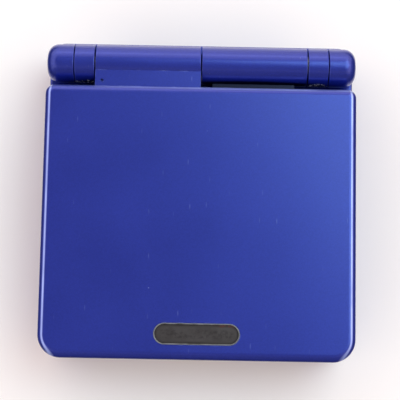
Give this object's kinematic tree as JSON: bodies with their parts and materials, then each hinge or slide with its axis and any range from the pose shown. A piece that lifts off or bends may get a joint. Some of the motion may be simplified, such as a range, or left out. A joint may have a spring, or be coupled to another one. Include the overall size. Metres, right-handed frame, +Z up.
{
  "type": "clamshell handheld game console",
  "caption": "Square folding handheld game console, shown closed: a flat lid with a nameplate, a round hinge barrel along the back and a base with keys, triggers, sliders and a game card slot.",
  "frame": {"origin": "on the underside, below the middle of the closed console", "axes": "+X to the player's right, +Y towards the hinge, +Z up through the closed lid"},
  "size_m": [0.082, 0.0846, 0.0244],
  "materials": {
    "case_paint": "satin metallic paint on moulded ABS",
    "badge_metal": "brushed, worn along the rim",
    "key_plastic": "satin",
    "dark_plastic": "moulded",
    "screen_glass": "polished",
    "light_guide": "clear",
    "display": "polished",
    "rubber": "moulded",
    "steel": "zinc plated",
    "gold_foil": "gold plated",
    "circuit_board": "solder mask",
    "battery_wrap": "satin",
    "clear_plastic": "translucent",
    "cream_plastic": "moulded"
  },
  "bodies": {
    "base": {"base_top_shell": "case_paint", "base_bottom_shell": "case_paint", "battery_cover": "case_paint", "battery_cover_screw": "steel", "battery_pack": "battery_wrap", "battery_contacts": "gold_foil", "case_screws": "steel", "main_board": "circuit_board", "board_chips": "dark_plastic", "board_screws": "steel", "slot_shield": "steel", "slot_connector": "dark_plastic", "slot_contacts": "gold_foil", "link_socket": "dark_plastic", "power_socket": "dark_plastic", "speaker": "dark_plastic", "dpad_membrane": "rubber", "action_key_membrane": "rubber", "menu_key_membrane": "rubber", "light_key_membrane": "rubber", "volume_control": "dark_plastic", "power_switch": "steel", "status_lights": "cream_plastic", "light_pipes": "clear_plastic", "hinge_cap_left": "case_paint", "hinge_cap_right": "case_paint", "hinge_shaft": "steel", "hinge_bush": "steel", "board_ribbon": "gold_foil", "ribbon_socket": "cream_plastic", "trigger_springs": "steel", "trigger_pins": "steel", "trigger_switches": "steel"},
    "lid": {"lid_outer_shell": "case_paint", "lid_badge": "badge_metal", "lid_bezel": "case_paint", "screen_lens": "screen_glass", "screen_gasket": "dark_plastic", "light_guide": "light_guide", "lcd_panel": "display", "lcd_holder": "steel", "lid_screws": "steel", "lid_screw_plugs": "rubber", "hinge_barrel_cover": "case_paint", "hinge_clutch": "steel", "display_ribbon": "gold_foil"},
    "dpad_pivot": {"dpad_pivot_nub": "rubber"},
    "dpad": {"dpad": "key_plastic"},
    "action_key_a": {"action_key_a": "key_plastic"},
    "action_key_b": {"action_key_b": "key_plastic"},
    "start_key": {"start_key": "key_plastic"},
    "select_key": {"select_key": "key_plastic"},
    "light_key": {"light_key": "key_plastic"},
    "trigger_left": {"trigger_left": "key_plastic"},
    "trigger_right": {"trigger_right": "key_plastic"},
    "power_slider": {"power_slider": "dark_plastic"},
    "volume_slider": {"volume_slider": "dark_plastic"}
  },
  "joints": [
    {"name": "lid_hinge", "type": "hinge", "parent": "base", "child": "lid", "pos_m": [0, 0.0358, 0.0188], "axis": [-1, 0, 0], "range_deg": [0, 160]},
    {"name": "dpad_tilt_x", "type": "hinge", "parent": "base", "child": "dpad_pivot", "pos_m": [-0.0242, 0.0086, 0.0115], "axis": [0, 1, 0], "range_deg": [-3.2, 3.2], "stiffness_Nm_per_rad": 0.25, "deforming": ["dpad_membrane"]},
    {"name": "dpad_tilt_y", "type": "hinge", "parent": "dpad_pivot", "child": "dpad", "pos_m": [-0.0242, 0.0086, 0.0115], "axis": [1, 0, 0], "range_deg": [-3.2, 3.2], "stiffness_Nm_per_rad": 0.25, "deforming": ["dpad_membrane"]},
    {"name": "action_a_press", "type": "slide", "parent": "base", "child": "action_key_a", "axis": [0, 0, -1], "range_m": [0, 0.0008], "stiffness_N_per_m": 350, "springref_m": -0.0003, "deforming": ["action_key_membrane"]},
    {"name": "action_b_press", "type": "slide", "parent": "base", "child": "action_key_b", "axis": [0, 0, -1], "range_m": [0, 0.0008], "stiffness_N_per_m": 350, "springref_m": -0.0003, "deforming": ["action_key_membrane"]},
    {"name": "start_press", "type": "slide", "parent": "base", "child": "start_key", "axis": [0, 0, -1], "range_m": [0, 0.0008], "stiffness_N_per_m": 350, "springref_m": -0.0003, "deforming": ["menu_key_membrane"]},
    {"name": "select_press", "type": "slide", "parent": "base", "child": "select_key", "axis": [0, 0, -1], "range_m": [0, 0.0008], "stiffness_N_per_m": 350, "springref_m": -0.0003, "deforming": ["menu_key_membrane"]},
    {"name": "light_press", "type": "slide", "parent": "base", "child": "light_key", "axis": [0, 0, -1], "range_m": [0, 0.0008], "stiffness_N_per_m": 350, "springref_m": -0.0003, "deforming": ["light_key_membrane"]},
    {"name": "trigger_left_press", "type": "hinge", "parent": "base", "child": "trigger_left", "pos_m": [-0.025, 0.0396, 0.0077], "axis": [0, 0, 1], "range_deg": [0, 5], "stiffness_Nm_per_rad": 0.12, "springref_deg": -5.73, "deforming": ["trigger_springs"]},
    {"name": "trigger_right_press", "type": "hinge", "parent": "base", "child": "trigger_right", "pos_m": [0.025, 0.0396, 0.0077], "axis": [0, 0, -1], "range_deg": [0, 5], "stiffness_Nm_per_rad": 0.12, "springref_deg": -5.73, "deforming": ["trigger_springs"]},
    {"name": "power_slide", "type": "slide", "parent": "base", "child": "power_slider", "axis": [0, 1, 0], "range_m": [0, 0.003]},
    {"name": "volume_slide", "type": "slide", "parent": "base", "child": "volume_slider", "axis": [0, 1, 0], "range_m": [-0.004, 0.004]}
  ]
}
